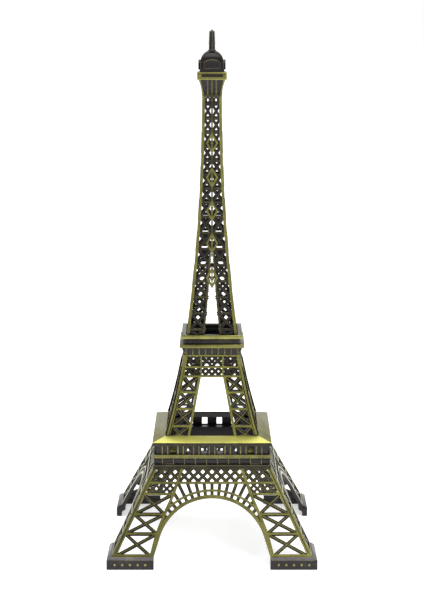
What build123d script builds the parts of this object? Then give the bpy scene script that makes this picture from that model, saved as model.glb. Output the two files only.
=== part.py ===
from build123d import *

import math
import os

# A souvenir model of an iron lattice tower, cast in hollow sections that stack on four feet.
# Sizes are in millimetres. The tower's axis is the Z axis, the feet stand on Z = 0, and the
# front faces -Y. Each of the four sides is the same casting, turned a quarter at a time.

# Overall
HEIGHT = 320.0
SIDES = ("front", "right", "back", "left")
REACH = 90.0              # longer than any half width, for cutting tools
FIT = 0.1                 # clearance round every tab and peg

# Feet: two walls that meet at the corner
FOOT_OUTER = 63.6         # half width over the feet
FOOT_INNER = 60.3         # half width inside the walls
FOOT_END = 35.2           # where each wall stops
FOOT_LEDGE = 6.0          # the outer face is upright to here, then slopes in
FOOT_TOP = 7.3
FOOT_SHOULDER = 61.6      # half widths of the flat top that carries the lower sides
FOOT_BACK = 57.8
FOOT_CORBEL = (3.0, 4.4)  # the top widens inwards between these heights
FOOT_ROUND = 0.6
STUD_COUNT = 5            # small lozenge studs along each outer face
STUD_PITCH = 4.6
STUD_SIZE = (2.0, 2.7)
STUD_LEVEL = 3.2
STUD_RISE = 0.35

# Lower sides: flat castings that lean inwards
LOWER_TOP = 56.1
LOWER_W0 = 60.7           # half width at the foot
LOWER_W1 = 36.1           # half width at the top
LOWER_THICK = 2.3
RELIEF = 0.45             # braces stand back from posts and rails by this much
LAP = 0.2                 # one layer of the relief runs into the next by this much
POST_OUTER = 2.7
POST_INNER = 1.8
STRUT_LEVELS = (19.6, 30.2)
BAND_LEVEL = 41.2         # rail below the small lattice
GIRDER_LEVEL = 47.4       # rail below the large lattice
RAIL = 1.2
RAIL_IN = 1.0             # rails and struts run into the corner posts by this much
STRUT = 1.1
STRUT_FLANGE = 2.3
BRACE = 2.1               # a brace is a wide flange, set back, with a narrow ridge on it
BRACE_RIDGE = 0.7
BRACE_IN = 1.9            # braces meet this far in from the corner
FOOT_PLATE = 2.4          # plate along the foot of each leg
GROOVE = 0.4              # width and depth of the groove down each corner post
GROOVE_IN = 1.35          # from the corner to the middle of the groove
INNER_POST = ((FOOT_TOP, 36.9), (19.6, 33.5), (30.2, 28.9), (41.2, 23.6), (LOWER_TOP, 18.0))
GIRDER_PITCH = 5.66
GIRDER_BAR = 0.8
GIRDER_FLANGE = 1.9
BAND_PITCH = 4.2
BAND_BAR = 0.7
BAND_FLANGE = 1.5
ARCH_CENTRE = 9.5         # height of the arch's centre, on the leaning face
ARCH_R = 33.0
ARCH_RIM = 2.0
ARCH_WINDOW = 2.2         # height of the small windows over the rim
ARCH_RIB = 1.2
ARCH_STEP = 6.53          # degrees from one window to the next
ARCH_WINDOWS = 8          # on each half
ARCH_WINDOW_WIDE = 2.6
ARCH_POST = 0.9           # posts that fan out between the arch and the lattice
ARCH_POST_FLANGE = 2.0
ARCH_SPRING = 17.0        # below this angle the arch runs straight to the foot
ARCH_LAP = 0.4            # the webs' edges stop inside the ribs in front of them
GUSSET_TOP = 28.0

# First floor: three square rings
FASCIA_TOP = 61.4
RING_MOULD = 1.1          # height of the fascia's bottom moulding
FASCIA_W = 36.3
FASCIA_RIBS = 10
FASCIA_RIB_PITCH = 6.75
FASCIA_RIB = 0.65
RING_INNER = 30.5
GALLERY_RAIL = 63.7
GALLERY_TOP = 69.4
GALLERY_W = 36.2
GALLERY_LEDGE = 27.6      # inner half width of the ledge that the middle legs stand on
WALL_OUT = 34.5
WALL_IN = 33.2
COLUMN_FACE = 35.5
COLUMN = 0.85
COLUMN_GAP = 3.3          # between the two columns of a pair
PAIR_PITCH = 9.6
PAIRS = 7
WINDOW_WIDE = 3.5         # a window through the wall, between two pairs of columns
WINDOW_SILL = 0.4
WINDOW_HEAD = 0.7
GALLERY_CORNER = 1.5      # half width of the solid corner round each peg
CORNICE_W = 36.6
CORNICE_LIP = 71.4
CORNICE_TOP = 73.8
CORNICE_IN = 28.55
CORNICE_EDGE = 0.5        # thickness of the roof's inner edge

# Middle sides
MIDDLE_Z0, MIDDLE_W0 = 74.7, 27.95
MIDDLE_Z1, MIDDLE_W1 = 122.3, 17.3
MIDDLE_BOW = -0.82
MIDDLE_THICK = 2.0
MIDDLE_STRUTS = (69.2, 79.2, 89.4, 99.4, 109.1)
MIDDLE_MESH = 114.7       # rail between the fine lattice and the crosses
MIDDLE_POST = 2.3
MIDDLE_INNER_POST = 1.5
MIDDLE_INNER = ((74.7, 14.1), (109.1, 7.5))
MIDDLE_BRACE = 2.0
MIDDLE_RIDGE = 0.6
MIDDLE_BRACE_IN = 1.7
MIDDLE_GROOVE_IN = 1.5
MIDDLE_EDGE = (0.1, 1.3)  # a raised edge down each leg, from and to these distances in from the corner
MIDDLE_EDGE_RISE = 1.0
MIDDLE_EDGE_FOOT = 74.4
MIDDLE_EDGE_FADE = (112.0, 118.0)
MIDDLE_PITCH = 4.0
MIDDLE_BAR = 0.6
MIDDLE_FLANGE = 1.6
CROSS_BAY = 6.7           # half width of the bay between the upper posts
CROSS_POST = 0.9
CROSS_IN = 1.5
MIDDLE_RAIL = 1.0
MIDDLE_PLATE = 1.6        # plate along the foot of each leg

# Second floor: three square rings
SECOND_FASCIA_TOP = 127.1
SECOND_LIP = 129.2
SECOND_BAND = 132.6
SECOND_TOP = 134.9
SECOND_W = 20.0
SECOND_BAND_W = 17.3
SECOND_UPPER_W = 18.8
SECOND_IN = 15.9
SECOND_LEDGE = 12.6
SECOND_RIBS = 9
SECOND_RIB_PITCH = 3.94
SECOND_RIB = 0.8

# Spire sides
SPIRE_Z0, SPIRE_W0 = 135.1, 15.6
SPIRE_Z1, SPIRE_W1 = 281.0, 6.0
SPIRE_BOW = -2.4
SPIRE_THICK = 1.5
SPIRE_SPLIT = 206.9       # taller bays below, shorter bays above
SPIRE_FIRST = 137.5
SPIRE_LAST = 275.3
SPIRE_BAYS_LOW = 7
SPIRE_BAYS_HIGH = 8
SPIRE_POST = 1.7
SPIRE_INNER_POST = 1.2
SPIRE_RIDGE = 0.5
SPIRE_FLANGE_LOW = 1.9    # flange widths below and above the split
SPIRE_FLANGE_HIGH = 1.4
SPIRE_RELIEF = (0.2, 0.6)   # how far the ridges and the flanges stand back
SPIRE_STRUT = 0.95
SPIRE_STRUT_FLANGE = 1.7
CREST_BAR = 0.45
CREST_FLANGE = 0.9
SPIRE_GAP_TOP = 184.0     # the two legs of a side meet here
SPIRE_GAP_FOOT = 4.4
SPIRE_GAP_HALF = 0.55     # half width of the gap where the legs meet
SPIRE_GAP_BOW = -0.25
SPIRE_CREST = 280.1
BADGE_LEVELS = (252.0, 231.1, 210.6, 190.7, 169.5)
BADGE_TALL = 13.1
BADGE_WIDE = 7.6
BADGE_BAR = 1.15
BADGE_STUD = (0.9, 1.6)   # half width and half height of the lozenge in its middle
BADGE_RISE = 0.2

# Head
COVE_TOP = 290.1
COVE_W0, COVE_W1 = 6.2, 8.1
COVE_EDGE = 1.4           # raised edge beside each corner
COVE_RIBS = 3
COVE_RIB_PITCH = 2.6
COVE_RIB = 0.7
COLLAR_TOP = 294.8
COLLAR_W = 9.0
COLLAR_SLOT = (6.4, 1.7, 0.9)   # half length, height, depth
COLLAR_SLOT_UP = 0.3      # above the collar's middle
COLLAR_CHAMFER = 0.3
COLLAR_PLUG = (3.5, 2.5)  # half width and depth of the plug inside the cove
NECK_W = 7.5
NECK_TOP = 296.2
CABIN_TOP = 300.6
CABIN_W = 7.0
PORCH_W = 8.3
PORCH_HALF = 5.0
PORCH_RISE = 1.6          # of the porch's arched roof
PORCH_FRAME = 0.8         # width of the frame round each porch's sunk front
PORCH_SUNK = 0.4
CUPOLA_TOP = 307.8
CUPOLA_RIM = 1.1          # raised rims beside the dome's four edges
CUPOLA_SUNK = 0.4
MAST_TOP = 319.1
MAST_R0, MAST_R1 = 2.15, 1.7


# Small helpers

def polygon(points):
    return make_face(Polyline(*points, close=True))


def oblong(x0, x1, y0, y1):
    return polygon([(x0, y0), (x1, y0), (x1, y1), (x0, y1)])


def bar(start, end, width):
    """A straight flat bar between two points."""
    length = math.dist(start, end)
    side_x = (start[1] - end[1]) / length * width / 2
    side_y = (end[0] - start[0]) / length * width / 2
    return polygon([
        (start[0] + side_x, start[1] + side_y),
        (end[0] + side_x, end[1] + side_y),
        (end[0] - side_x, end[1] - side_y),
        (start[0] - side_x, start[1] - side_y),
    ])


def joined(faces):
    """One sketch from many overlapping flat shapes."""
    return Sketch() + faces


def mirrored(faces):
    """The shapes given for +X, with their copies on -X."""
    return faces + [mirror(face, about=Plane.YZ) for face in faces]


def cross(left, right, low, high, width):
    """Two diagonals across a bay. left and right give the bay's edges at a height."""
    return [
        bar((left(low), low), (right(high), high), width),
        bar((right(low), low), (left(high), high), width),
    ]


def diamond_mesh(region, crossing, pitch, width):
    """Bars at 45 degrees through a crossing point, repeated, and trimmed to a region."""
    box = region.bounding_box()
    span = box.size.X + box.size.Y
    first = math.floor((box.min.X - span - crossing[0]) / pitch)
    last = math.ceil((box.max.X + span - crossing[0]) / pitch)
    bars = []
    for step in range(first, last + 1):
        x = crossing[0] + step * pitch
        for lean in (-1, 1):
            low = (x + lean * (box.min.Y - crossing[1]), box.min.Y)
            high = (x + lean * (box.max.Y - crossing[1]), box.max.Y)
            if max(low[0], high[0]) > box.min.X and min(low[0], high[0]) < box.max.X:
                bars.append(bar(low, high, width))
    return joined(bars) & region


def bowed(z0, w0, z1, w1, bow):
    """The half width at a height, along a chord with a bow at its middle."""
    def half_width(z):
        t = (z - z0) / (z1 - z0)
        return w0 + (w1 - w0) * t + 4 * bow * t * (1 - t)
    return half_width


def line_through(points):
    """The x at a height along a run of straight lines."""
    def x_at(z):
        pairs = list(zip(points, points[1:]))
        for (z0, x0), (z1, x1) in pairs:
            if z <= z1 or (z1, x1) == points[-1]:
                return x0 + (x1 - x0) * (z - z0) / (z1 - z0)
    return x_at


def ribbon(x_at, levels, inner, outer):
    """A strip along a leaning line, from inner to outer of it."""
    rising = [(x_at(z) + inner, z) for z in levels]
    falling = [(x_at(z) + outer, z) for z in reversed(levels)]
    return polygon(rising + falling)


def quarter(low, high):
    """The front quarter of the plan between two heights, bounded by the two diagonals."""
    plan = polygon([(0, 0), (-REACH, -REACH), (REACH, -REACH)])
    return extrude(Pos(0, 0, low) * plan, amount=high - low)


def curtain(half_width, levels, front, back):
    """The space from front to back behind a bowed side."""
    outer = [(front - half_width(z), z) for z in levels]
    inner = [(back - half_width(z), z) for z in reversed(levels)]
    return extrude(Plane.YZ * polygon(outer + inner), amount=REACH, both=True)


def raised(flat, side):
    """A flat shape in the X-Z plane, pushed to the front, and trimmed to a side."""
    return extrude(Plane.XZ * flat, amount=REACH) & side


def block(x0, x1, y0, y1, z0, z1):
    size = Box(x1 - x0, y1 - y0, z1 - z0, align=Align.MIN)
    return Pos(x0, y0, z0) * size


def turned(shape, count=4):
    """The shape at each quarter turn."""
    return [Rot(Z=90 * step) * shape for step in range(count)]


def square_ring(section):
    """A mitred square ring from a section drawn in the Y-Z plane on the front side."""
    box = section.bounding_box()
    side = extrude(Plane.YZ * section, amount=REACH, both=True)
    side &= quarter(box.min.Y, box.max.Y)
    return Part() + turned(side)


def tab_pair(x, wide, y0, y1, z0, z1, grow=0.0):
    """Two tabs, or with grow their slots, at x and -x."""
    half = wide / 2 + grow
    tabs = []
    for sign in (-1, 1):
        tabs.append(block(sign * x - half, sign * x + half, y0 - grow, y1 + grow, z0 - grow, z1 + grow))
    return tabs


def corner_pegs(at, radius, low, high):
    """A peg near each corner of a ring."""
    peg = Pos(at, at, low) * Cylinder(radius, high - low, align=(Align.CENTER, Align.CENTER, Align.MIN))
    return turned(peg)


# Joint features shared by the two pieces that meet there: x, width, y0, y1, z0, z1
LOWER_FOOT_TAB = (46.0, 9.0, -60.2, -58.8, FOOT_TOP - 2.0, FOOT_TOP)
LOWER_TOP_TAB = (26.0, 6.0, -35.3, -34.2, LOWER_TOP, LOWER_TOP + 2.2)
MIDDLE_FOOT_TAB = (24.0, 5.0, -31.0, -29.9, GALLERY_RAIL - 1.6, GALLERY_RAIL)
MIDDLE_TOP_TAB = (10.5, 4.0, -16.8, -15.8, MIDDLE_Z1, MIDDLE_Z1 + 2.0)
SPIRE_FOOT_TAB = (10.0, 3.0, -15.2, -14.4, SECOND_LIP - 1.4, SECOND_LIP)
SPIRE_TOP_TAB = (2.6, 2.0, -5.7, -4.9, SPIRE_Z1, SPIRE_Z1 + 1.8)

# Pegs near a ring's corners: distance from the axis along X and Y, radius
FLOOR_PEG = (33.0, 1.1)
SECOND_PEG = (16.0, 0.8)
UPPER_PEG = (16.6, 0.45)


# Feet

CORNER_PLANE = Plane((0, 0, 0), x_dir=(1, -1, 0), z_dir=(1, 1, 0))     # swaps a corner's two sides


def foot():
    """The front right foot: two mitred walls, with slots for two sides and studs outside."""
    section = polygon([
        (-FOOT_OUTER, 0), (-FOOT_OUTER, FOOT_LEDGE), (-FOOT_SHOULDER, FOOT_TOP), (-FOOT_BACK, FOOT_TOP),
        (-FOOT_BACK, FOOT_CORBEL[1]), (-FOOT_INNER, FOOT_CORBEL[0]), (-FOOT_INNER, 0),
    ])
    walls = square_ring(section) & block(FOOT_END, REACH, -REACH, -FOOT_END, 0, FOOT_TOP)
    corner = walls.edges().filter_by(Axis.Z).sort_by(Axis((0, 0, 0), (1, -1, 0)))[-1]
    walls = fillet(corner, FOOT_ROUND)
    slot = tab_pair(*LOWER_FOOT_TAB, grow=FIT)[1]
    walls -= [slot, mirror(slot, about=CORNER_PLANE)]
    wide, tall = STUD_SIZE
    lozenge = polygon([(wide / 2, 0), (0, tall / 2), (-wide / 2, 0), (0, -tall / 2)])
    middle = (FOOT_END + FOOT_OUTER) / 2
    for step in range(STUD_COUNT):
        along = middle + (step - (STUD_COUNT - 1) / 2) * STUD_PITCH
        face = Plane((along, -FOOT_OUTER, STUD_LEVEL), x_dir=(1, 0, 0), z_dir=(0, -1, 0))
        stud = extrude(face * lozenge, amount=STUD_RISE, taper=20)
        walls += stud
        walls += mirror(stud, about=CORNER_PLANE)
    return walls


# Lower sides

LEAN = math.atan((LOWER_W0 - LOWER_W1) / (LOWER_TOP - FOOT_TOP))


def up(z):
    """The distance up the leaning face that reaches a height."""
    return (z - FOOT_TOP) / math.cos(LEAN)


def lower_corner(v):
    return LOWER_W0 - v * math.sin(LEAN)


def under_arch(radius):
    """Everything under an arch of this radius, straight below its springing."""
    spring = math.radians(ARCH_SPRING)
    centre = up(ARCH_CENTRE)
    x = radius * math.cos(spring)
    y = centre + radius * math.sin(spring)
    ground = up(FOOT_TOP) - 3.0
    foot_x = x + (y - ground) * math.tan(spring)
    return make_face([
        Line((foot_x, ground), (x, y)),
        ThreePointArc((x, y), (0, centre + radius), (-x, y)),
        Line((-x, y), (-foot_x, ground)),
        Line((-foot_x, ground), (foot_x, ground)),
    ])


def radial(angle, start, end, width):
    """A bar that points away from the arch's centre, at an angle from upright."""
    turn = math.radians(angle)
    centre = up(ARCH_CENTRE)
    first = (start * math.sin(turn), centre + start * math.cos(turn))
    second = (end * math.sin(turn), centre + end * math.cos(turn))
    return bar(first, second, width)


def lower_frame():
    """Posts, rails, struts and the two ribs of the arch."""
    ground, top = up(FOOT_TOP) - 3.0, up(LOWER_TOP) + 1.0
    inner_post = line_through([(up(z), x) for z, x in INNER_POST])
    nodes = [ground] + [up(z) for z, _ in INNER_POST[1:-1]] + [top]
    shapes = mirrored([
        ribbon(lower_corner, (ground, top), -POST_OUTER, 4.0),
        ribbon(inner_post, nodes, -POST_INNER / 2, POST_INNER / 2),
        bar((inner_post(0) - 1, 0.3), (LOWER_W0, 0.3), FOOT_PLATE),
    ])
    shapes += lower_struts(STRUT)
    v = up(BAND_LEVEL)
    shapes += mirrored([bar((inner_post(v), v), (lower_corner(v) - RAIL_IN, v), RAIL)])
    for v in (up(GIRDER_LEVEL), up(LOWER_TOP) - RAIL / 2):
        end = lower_corner(v) - RAIL_IN
        shapes.append(bar((-end, v), (end, v), RAIL))
    rim = under_arch(ARCH_R + ARCH_RIM) - under_arch(ARCH_R)
    rib_in = ARCH_R + ARCH_RIM + ARCH_WINDOW
    rib = under_arch(rib_in + ARCH_RIB) - under_arch(rib_in)
    return joined(shapes + [rim, rib & between_posts(inner_post, nodes)])


def between_posts(inner_post, nodes):
    right = [(inner_post(v), v) for v in nodes]
    left = [(-x, v) for x, v in reversed(right)]
    return polygon(right + left)


def lower_struts(width):
    """The level bars between the crosses of each leg."""
    inner_post = line_through([(up(z), x) for z, x in INNER_POST])
    bars = []
    for v in [up(z) for z in STRUT_LEVELS]:
        bars += mirrored([bar((inner_post(v), v), (lower_corner(v) - RAIL_IN, v), width)])
    return bars


def lower_crosses(width):
    """The diagonals between the struts of each leg."""
    inner_post = line_through([(up(z), x) for z, x in INNER_POST])
    levels = [up(z) for z in (FOOT_TOP, *STRUT_LEVELS, BAND_LEVEL)]
    bars = []
    for low, high in zip(levels, levels[1:]):
        bars += mirrored(cross(inner_post, lambda v: lower_corner(v) - BRACE_IN, low, high, width))
    return bars


def lower_lattices(girder_bar, band_bar, post):
    """The large lattice, the small one over each leg, and the fanned posts, at these widths."""
    inner_post = line_through([(up(z), x) for z, x in INNER_POST])
    low, rail, top = up(BAND_LEVEL), up(GIRDER_LEVEL), up(LOWER_TOP)
    ends = [lower_corner(v) - RAIL_IN for v in (low, rail, top)]
    girder = polygon([(ends[1], rail), (ends[2], top), (-ends[2], top), (-ends[1], rail)])
    crossing = (GIRDER_PITCH / 2, top - GIRDER_PITCH / 2)
    mesh = diamond_mesh(girder, crossing, GIRDER_PITCH, girder_bar)
    leg = polygon([(inner_post(low), low), (ends[0], low), (ends[1], rail), (inner_post(rail), rail)])
    middle = (leg.bounding_box().center().X, (low + rail) / 2)
    small = diamond_mesh(leg, middle, BAND_PITCH, band_bar)
    posts = []
    for step in range(-ARCH_WINDOWS, ARCH_WINDOWS + 1):
        posts.append(radial(step * ARCH_STEP, ARCH_R + ARCH_RIM, 2 * ARCH_R, post))
    nodes = [up(z) for z, _ in INNER_POST]
    centre = up(ARCH_CENTRE)
    opening = between_posts(inner_post, nodes) & Pos(0, rail / 2) * Rectangle(2 * REACH, rail)
    opening -= Pos(0, centre / 2 - 2) * Rectangle(2 * REACH, centre + 16)
    return [mesh, small, mirror(small, about=Plane.YZ), joined(posts) & opening]


def arch_web():
    """The web between the arch's two ribs, with its row of small windows."""
    inner_post = line_through([(up(z), x) for z, x in INNER_POST])
    rib_in = ARCH_R + ARCH_RIM + ARCH_WINDOW
    web = under_arch(rib_in + ARCH_RIB - ARCH_LAP) - under_arch(ARCH_R + ARCH_LAP)
    for step in range(-ARCH_WINDOWS, ARCH_WINDOWS):
        angle = (step + 0.5) * ARCH_STEP
        web -= radial(angle, ARCH_R + ARCH_RIM - ARCH_LAP, rib_in + ARCH_LAP, ARCH_WINDOW_WIDE)
    return web & between_posts(inner_post, [up(z) for z, _ in INNER_POST])


def gusset():
    """The plate between the arch and the inner post of each leg."""
    inner_post = line_through([(up(z), x) for z, x in INNER_POST])
    plate = between_posts(inner_post, [up(z) for z in (FOOT_TOP - 3, STRUT_LEVELS[0], GUSSET_TOP)])
    return plate - under_arch(ARCH_R + ARCH_LAP)


def lower_side():
    """One lower side: a flat casting with a mitred edge at each corner of the tower."""
    face = Plane((0, -LOWER_W0, FOOT_TOP), x_dir=(1, 0, 0), z_dir=(0, -math.cos(LEAN), math.sin(LEAN)))
    frame = extrude(face * lower_frame(), amount=-LOWER_THICK)
    groove_span = (up(FOOT_TOP + 2), up(LOWER_TOP - 2))
    groove = ribbon(lower_corner, groove_span, -GROOVE_IN - GROOVE / 2, -GROOVE_IN + GROOVE / 2)
    frame -= [extrude(face * strip, amount=-GROOVE) for strip in mirrored([groove])]
    lattices = joined(lower_lattices(GIRDER_BAR, BAND_BAR, ARCH_POST))
    lattices = extrude(face.offset(-RELIEF) * lattices, amount=-RELIEF - LAP)
    web = extrude(face.offset(-RELIEF) * arch_web(), amount=RELIEF - LOWER_THICK)
    flanges = lower_crosses(BRACE) + lower_struts(STRUT_FLANGE) + [gusset()]
    flanges = joined(flanges + lower_lattices(GIRDER_FLANGE, BAND_FLANGE, ARCH_POST_FLANGE))
    flanges = extrude(face.offset(-2 * RELIEF) * flanges, amount=2 * RELIEF - LOWER_THICK)
    ridges = joined(lower_crosses(BRACE_RIDGE))
    ridges = extrude(face.offset(-RELIEF / 2) * ridges, amount=-1.5 * RELIEF - LAP)
    side = (frame + [lattices, web, flanges, ridges]) & quarter(FOOT_TOP, LOWER_TOP)
    side += tab_pair(*LOWER_FOOT_TAB[:5], LOWER_FOOT_TAB[5] + 0.5)
    side += tab_pair(*LOWER_TOP_TAB[:4], LOWER_TOP_TAB[4] - 0.5, LOWER_TOP_TAB[5])
    return side


# First floor

def cove(low, high, w_low, w_high, sag):
    """A hollow curve up the outside of a ring, from one half width to a larger one."""
    middle = ((-w_low - w_high) / 2 + sag, (low + high) / 2 + sag / 2)
    return ThreePointArc((-w_low, low), middle, (-w_high, high))


def coved_section(low, high, w_low, w_high, sag, inner):
    curve = cove(low, high, w_low, w_high, sag)
    return make_face([
        curve,
        Line((-w_high, high), (-inner, high)),
        Line((-inner, high), (-inner, low)),
        Line((-inner, low), (-w_low, low)),
    ])


def ribs(section, count, pitch, width):
    """Upright ribs with this section, spread along all four sides."""
    found = []
    for step in range(count):
        x = (step - (count - 1) / 2) * pitch
        rib = extrude(Plane.YZ * section, amount=width / 2, both=True)
        found += turned(Pos(x, 0, 0) * rib)
    return found


def first_floor_fascia():
    low = LOWER_TOP + RING_MOULD
    ring = square_ring(oblong(-FASCIA_W, -RING_INNER, LOWER_TOP, low))
    ring += square_ring(coved_section(low, FASCIA_TOP, FASCIA_W - 1.5, FASCIA_W - 0.3, 0.25, RING_INNER))
    rib = coved_section(low, FASCIA_TOP, FASCIA_W - 0.7, FASCIA_W, 0.2, RING_INNER + 1)
    ring += ribs(rib, FASCIA_RIBS, FASCIA_RIB_PITCH, FASCIA_RIB)
    for slots in turned(Part() + tab_pair(*LOWER_TOP_TAB, grow=FIT)):
        ring -= slots
    return ring - corner_pegs(FLOOR_PEG[0], FLOOR_PEG[1] + FIT, FASCIA_TOP - 2.6, FASCIA_TOP)


def first_floor_gallery():
    rail = oblong(-GALLERY_W, -GALLERY_LEDGE, FASCIA_TOP, GALLERY_RAIL)
    wall = oblong(-WALL_OUT, -WALL_IN, GALLERY_RAIL, GALLERY_TOP)
    ring = square_ring(rail) + square_ring(wall)
    sill, head = GALLERY_RAIL + WINDOW_SILL, GALLERY_TOP - WINDOW_HEAD
    for step in range(PAIRS - 1):
        x = (step - (PAIRS - 2) / 2) * PAIR_PITCH
        ring -= turned(block(x - WINDOW_WIDE / 2, x + WINDOW_WIDE / 2, -REACH, 1 - WALL_IN, sill, head))
    column = oblong(-COLUMN_FACE, -WALL_OUT, GALLERY_RAIL, GALLERY_TOP)
    for step in range(PAIRS):
        x = (step - (PAIRS - 1) / 2) * PAIR_PITCH
        for offset in (-COLUMN_GAP / 2, COLUMN_GAP / 2):
            rib = extrude(Plane.YZ * column, amount=COLUMN / 2, both=True)
            ring += turned(Pos(x + offset, 0, 0) * rib)
    near = FLOOR_PEG[0] - GALLERY_CORNER
    corner = block(near, WALL_OUT, near, WALL_OUT, GALLERY_RAIL, GALLERY_TOP)
    ring += turned(corner)
    ring += corner_pegs(*FLOOR_PEG, FASCIA_TOP - 2.4, FASCIA_TOP)
    ring += corner_pegs(*FLOOR_PEG, GALLERY_TOP, GALLERY_TOP + 1.4)
    for slots in turned(Part() + tab_pair(*MIDDLE_FOOT_TAB, grow=FIT)):
        ring -= slots
    return ring


def first_floor_cornice():
    inner = WALL_IN - 2.5
    lip_in = CORNICE_IN + 1.6
    section = polygon([
        (-CORNICE_W, GALLERY_TOP), (-CORNICE_W, CORNICE_LIP), (-CORNICE_IN, CORNICE_TOP),
        (-CORNICE_IN, CORNICE_TOP - CORNICE_EDGE), (-lip_in, CORNICE_TOP - 1.2), (-inner, GALLERY_TOP),
    ])
    ring = square_ring(section)
    return ring - corner_pegs(FLOOR_PEG[0], FLOOR_PEG[1] + FIT, GALLERY_TOP, GALLERY_TOP + 1.6)


# Middle sides

middle_width = bowed(MIDDLE_Z0, MIDDLE_W0, MIDDLE_Z1, MIDDLE_W1, MIDDLE_BOW)


def middle_edge(z):
    """The half width over the raised edges, which fade out at the top."""
    low, high = MIDDLE_EDGE_FADE
    return middle_width(z) + MIDDLE_EDGE_RISE * min(1.0, (high - z) / (high - low))


def middle_crosses(width):
    """The diagonals between the struts of each leg."""
    legs = (GALLERY_RAIL, *MIDDLE_STRUTS)
    inner = line_through(MIDDLE_INNER)
    bars = []
    for low, high in zip(legs, legs[1:]):
        bars += mirrored(cross(inner, lambda z: middle_width(z) - MIDDLE_BRACE_IN, low, high, width))
    return bars


def middle_lattice(width):
    """The head's fine lattice, with a row of crosses over it."""
    low, high = MIDDLE_STRUTS[-1], MIDDLE_MESH
    ends = (middle_width(low) - RAIL_IN, middle_width(high) - RAIL_IN)
    region = polygon([(ends[0], low), (ends[1], high), (-ends[1], high), (-ends[0], low)])
    crossing = (MIDDLE_PITCH / 2, (low + high) / 2)
    bars = [diamond_mesh(region, crossing, MIDDLE_PITCH, width)]
    low, high = MIDDLE_MESH, MIDDLE_Z1 - MIDDLE_RAIL / 2
    edges = [lambda z: 0.0, lambda z: CROSS_BAY,
             lambda z: (CROSS_BAY + middle_width(z) - CROSS_IN) / 2, lambda z: middle_width(z) - CROSS_IN]
    for left, right in zip(edges, edges[1:]):
        bars += mirrored(cross(left, right, low, high, width))
    return bars


def middle_side():
    """One middle side: two legs that stand on the first floor, joined by a lattice head."""
    levels = (GALLERY_RAIL, *MIDDLE_STRUTS, MIDDLE_MESH, MIDDLE_Z1)
    inner = line_through(MIDDLE_INNER)
    plate = GALLERY_RAIL + MIDDLE_PLATE / 2
    top_strut = MIDDLE_STRUTS[-1]
    shapes = mirrored([
        ribbon(middle_width, levels, -MIDDLE_POST, 3.0),
        bar((inner(GALLERY_RAIL), GALLERY_RAIL), (inner(top_strut), top_strut), MIDDLE_INNER_POST),
        bar((CROSS_BAY, MIDDLE_STRUTS[-1]), (CROSS_BAY, MIDDLE_Z1), CROSS_POST),
        bar((inner(plate), plate), (middle_width(plate), plate), MIDDLE_PLATE),
    ])
    for z in MIDDLE_STRUTS[:-1]:
        shapes += mirrored([bar((inner(z), z), (middle_width(z) - RAIL_IN, z), RAIL)])
    for z in (MIDDLE_STRUTS[-1], MIDDLE_MESH, MIDDLE_Z1 - MIDDLE_RAIL / 2):
        end = middle_width(z) - RAIL_IN
        shapes.append(bar((-end, z), (end, z), MIDDLE_RAIL))
    lattice = middle_lattice(MIDDLE_BAR)
    flanges = middle_crosses(MIDDLE_BRACE) + middle_lattice(MIDDLE_FLANGE)
    ridges = middle_crosses(MIDDLE_RIDGE)
    side = raised(joined(shapes), curtain(middle_width, levels, 0, MIDDLE_THICK))
    side += raised(joined(lattice), curtain(middle_width, levels, RELIEF, 2 * RELIEF + LAP))
    side += raised(joined(flanges), curtain(middle_width, levels, 2 * RELIEF, MIDDLE_THICK))
    side += raised(joined(ridges), curtain(middle_width, levels, RELIEF / 2, 2 * RELIEF + LAP))
    groove = (-MIDDLE_GROOVE_IN - GROOVE / 2, GROOVE / 2 - MIDDLE_GROOVE_IN)
    groove = ribbon(middle_width, levels[1:-1], *groove)
    side -= raised(joined(mirrored([groove])), curtain(middle_width, levels, -1, GROOVE))
    edge_levels = (MIDDLE_EDGE_FOOT, *MIDDLE_STRUTS[1:], *MIDDLE_EDGE_FADE)
    edge = ribbon(middle_width, edge_levels, -MIDDLE_EDGE[1], -MIDDLE_EDGE[0])
    side += raised(joined(mirrored([edge])), curtain(middle_edge, edge_levels, 0, MIDDLE_THICK - RELIEF))
    side &= quarter(GALLERY_RAIL, MIDDLE_Z1)
    side += tab_pair(*MIDDLE_FOOT_TAB[:5], MIDDLE_FOOT_TAB[5] + 0.5)
    side += tab_pair(*MIDDLE_TOP_TAB[:4], MIDDLE_TOP_TAB[4] - 0.5, MIDDLE_TOP_TAB[5])
    return side


# Second floor

def second_floor_fascia():
    heights = (MIDDLE_Z1, SECOND_FASCIA_TOP)
    ring = square_ring(coved_section(*heights, MIDDLE_W1 - 0.4, SECOND_W - 1.6, 0.35, SECOND_LEDGE + 1))
    rib = coved_section(*heights, MIDDLE_W1 + 0.4, SECOND_W - 0.8, 0.35, SECOND_LEDGE + 2)
    ring += ribs(rib, SECOND_RIBS, SECOND_RIB_PITCH, SECOND_RIB)
    for slots in turned(Part() + tab_pair(*MIDDLE_TOP_TAB, grow=FIT)):
        ring -= slots
    return ring - corner_pegs(SECOND_PEG[0], SECOND_PEG[1] + FIT, SECOND_FASCIA_TOP - 2.1, SECOND_FASCIA_TOP)


def second_floor_balcony():
    lip = oblong(-SECOND_W, -SECOND_LEDGE, SECOND_FASCIA_TOP, SECOND_LIP)
    band = oblong(-SECOND_BAND_W, -SECOND_IN, SECOND_LIP, SECOND_BAND)
    ring = square_ring(lip) + square_ring(band)
    ring += corner_pegs(*SECOND_PEG, SECOND_FASCIA_TOP - 2.0, SECOND_FASCIA_TOP)
    ring += corner_pegs(*UPPER_PEG, SECOND_BAND, SECOND_BAND + 1.2)
    for slots in turned(Part() + tab_pair(*SPIRE_FOOT_TAB, grow=FIT)):
        ring -= slots
    return ring


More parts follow.
